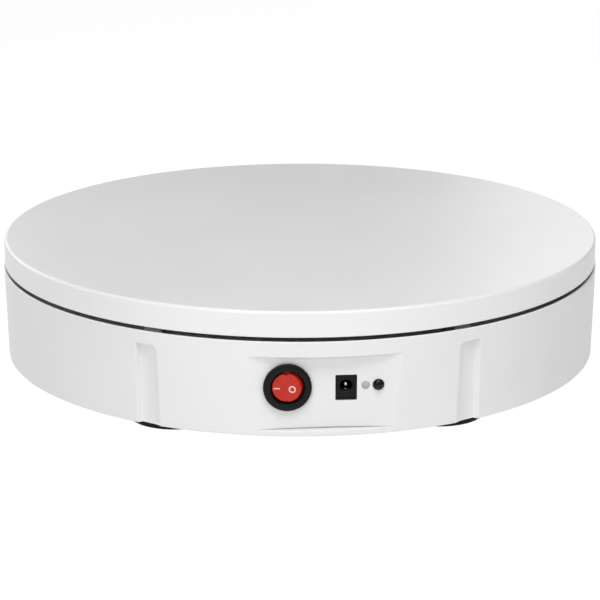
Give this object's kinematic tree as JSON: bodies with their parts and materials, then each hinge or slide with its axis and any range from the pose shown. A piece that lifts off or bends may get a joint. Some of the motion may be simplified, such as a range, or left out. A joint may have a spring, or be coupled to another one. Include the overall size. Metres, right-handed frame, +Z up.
{
  "type": "motorised display turntable",
  "caption": "Round white powered display turntable: a flat platter turns on a drum-shaped base with a recessed panel, a rocker switch and a power socket.",
  "frame": {"origin": "on the ground under the turning axis, at the centre of the footprint", "axes": "+Z up along the turning axis, -Y out of the switch and socket panel, +X to the right of someone facing the panel"},
  "size_m": [0.301, 0.301, 0.0628],
  "materials": {
    "white_shell": "white moulded ABS with a fine satin grain and a soft gloss",
    "black_rubber": "matte black rubber",
    "steel": "bright zinc-plated steel",
    "grey_plastic": "moulded grey acetal",
    "roller_plastic": "grey polyurethane tread",
    "gear_plastic": "natural acetal, slightly waxy",
    "black_plastic": "black nylon with a satin moulded face",
    "receiver_plastic": "glossy black infrared-passing epoxy",
    "red_plastic": "glossy red polycarbonate",
    "lamp_lens": "clear water-white epoxy",
    "circuit_board": "green solder mask",
    "cable_sheath": "black flexible PVC"
  },
  "bodies": {
    "base": {"base_shell": "white_shell", "bottom_cover": "white_shell", "foot_1": "black_rubber", "foot_2": "black_rubber", "foot_3": "black_rubber", "foot_4": "black_rubber", "foot_5": "black_rubber", "foot_6": "black_rubber", "foot_screw_1": "steel", "foot_screw_2": "steel", "foot_screw_3": "steel", "foot_screw_4": "steel", "foot_screw_5": "steel", "foot_screw_6": "steel", "roller_bracket_1": "grey_plastic", "roller_bracket_2": "grey_plastic", "roller_bracket_3": "grey_plastic", "roller_bracket_4": "grey_plastic", "roller_bracket_5": "grey_plastic", "roller_bracket_6": "grey_plastic", "roller_axle_1": "steel", "roller_axle_2": "steel", "roller_axle_3": "steel", "roller_axle_4": "steel", "roller_axle_5": "steel", "roller_axle_6": "steel", "bearing_outer_race": "steel", "gearmotor": "steel", "motor_screw_1": "steel", "motor_screw_2": "steel", "control_board": "circuit_board", "board_screw_1": "steel", "board_screw_2": "steel", "dc_jack": "black_plastic", "dc_jack_pin": "steel", "indicator_led": "lamp_lens", "ir_receiver": "receiver_plastic", "switch_housing": "black_plastic", "switch_cable": "cable_sheath", "motor_cable": "cable_sheath"},
    "platter": {"platter": "white_shell", "spindle": "steel", "bearing_inner_race": "steel", "spindle_washer": "steel", "spindle_nut": "steel", "ring_gear": "gear_plastic", "flange_screw_1": "steel", "flange_screw_2": "steel", "flange_screw_3": "steel"},
    "bearing_balls": {"bearing_ball_set": "steel"},
    "pinion": {"pinion": "gear_plastic", "motor_shaft": "steel"},
    "rocker": {"switch_rocker": "red_plastic"},
    "roller_1": {"roller_1": "roller_plastic"},
    "roller_2": {"roller_2": "roller_plastic"},
    "roller_3": {"roller_3": "roller_plastic"},
    "roller_4": {"roller_4": "roller_plastic"},
    "roller_5": {"roller_5": "roller_plastic"},
    "roller_6": {"roller_6": "roller_plastic"}
  },
  "joints": [
    {"name": "platter_spin", "type": "hinge", "parent": "base", "child": "platter", "pos_m": [0, 0, 0.0588], "axis": [0, 0, 1], "continuous": true},
    {"name": "bearing_ball_spin", "type": "hinge", "parent": "base", "child": "bearing_balls", "pos_m": [0, 0, 0.0392], "axis": [0, 0, 1], "continuous": true},
    {"name": "pinion_spin", "type": "hinge", "parent": "base", "child": "pinion", "pos_m": [0, 0.048, 0.0525], "axis": [0, 0, 1], "continuous": true},
    {"name": "roller_1_spin", "type": "hinge", "parent": "base", "child": "roller_1", "pos_m": [0.06192, -0.11996, 0.0518], "axis": [0.4587, -0.8886, 0], "continuous": true},
    {"name": "roller_2_spin", "type": "hinge", "parent": "base", "child": "roller_2", "pos_m": [0.13485, -0.00636, 0.0518], "axis": [0.9989, -0.0471, 0], "continuous": true},
    {"name": "roller_3_spin", "type": "hinge", "parent": "base", "child": "roller_3", "pos_m": [0.07293, 0.1136, 0.0518], "axis": [0.5402, 0.8415, 0], "continuous": true},
    {"name": "roller_4_spin", "type": "hinge", "parent": "base", "child": "roller_4", "pos_m": [-0.06192, 0.11996, 0.0518], "axis": [-0.4587, 0.8886, 0], "continuous": true},
    {"name": "roller_5_spin", "type": "hinge", "parent": "base", "child": "roller_5", "pos_m": [-0.13485, 0.00636, 0.0518], "axis": [-0.9989, 0.0471, 0], "continuous": true},
    {"name": "roller_6_spin", "type": "hinge", "parent": "base", "child": "roller_6", "pos_m": [-0.07293, -0.1136, 0.0518], "axis": [-0.5402, -0.8415, 0], "continuous": true},
    {"name": "switch_rock", "type": "hinge", "parent": "base", "child": "rocker", "pos_m": [-0.0171, -0.145, 0.0263], "axis": [0, 0, 1], "range_deg": [0, 20]}
  ],
  "couplings": [
    {"joint": "bearing_ball_spin", "follows": "platter_spin", "ratio": 0.3722},
    {"joint": "pinion_spin", "follows": "platter_spin", "ratio": 5},
    {"joint": "roller_1_spin", "follows": "platter_spin", "ratio": -24.546},
    {"joint": "roller_2_spin", "follows": "platter_spin", "ratio": -24.546},
    {"joint": "roller_3_spin", "follows": "platter_spin", "ratio": -24.546},
    {"joint": "roller_4_spin", "follows": "platter_spin", "ratio": -24.546},
    {"joint": "roller_5_spin", "follows": "platter_spin", "ratio": -24.546},
    {"joint": "roller_6_spin", "follows": "platter_spin", "ratio": -24.546}
  ]
}
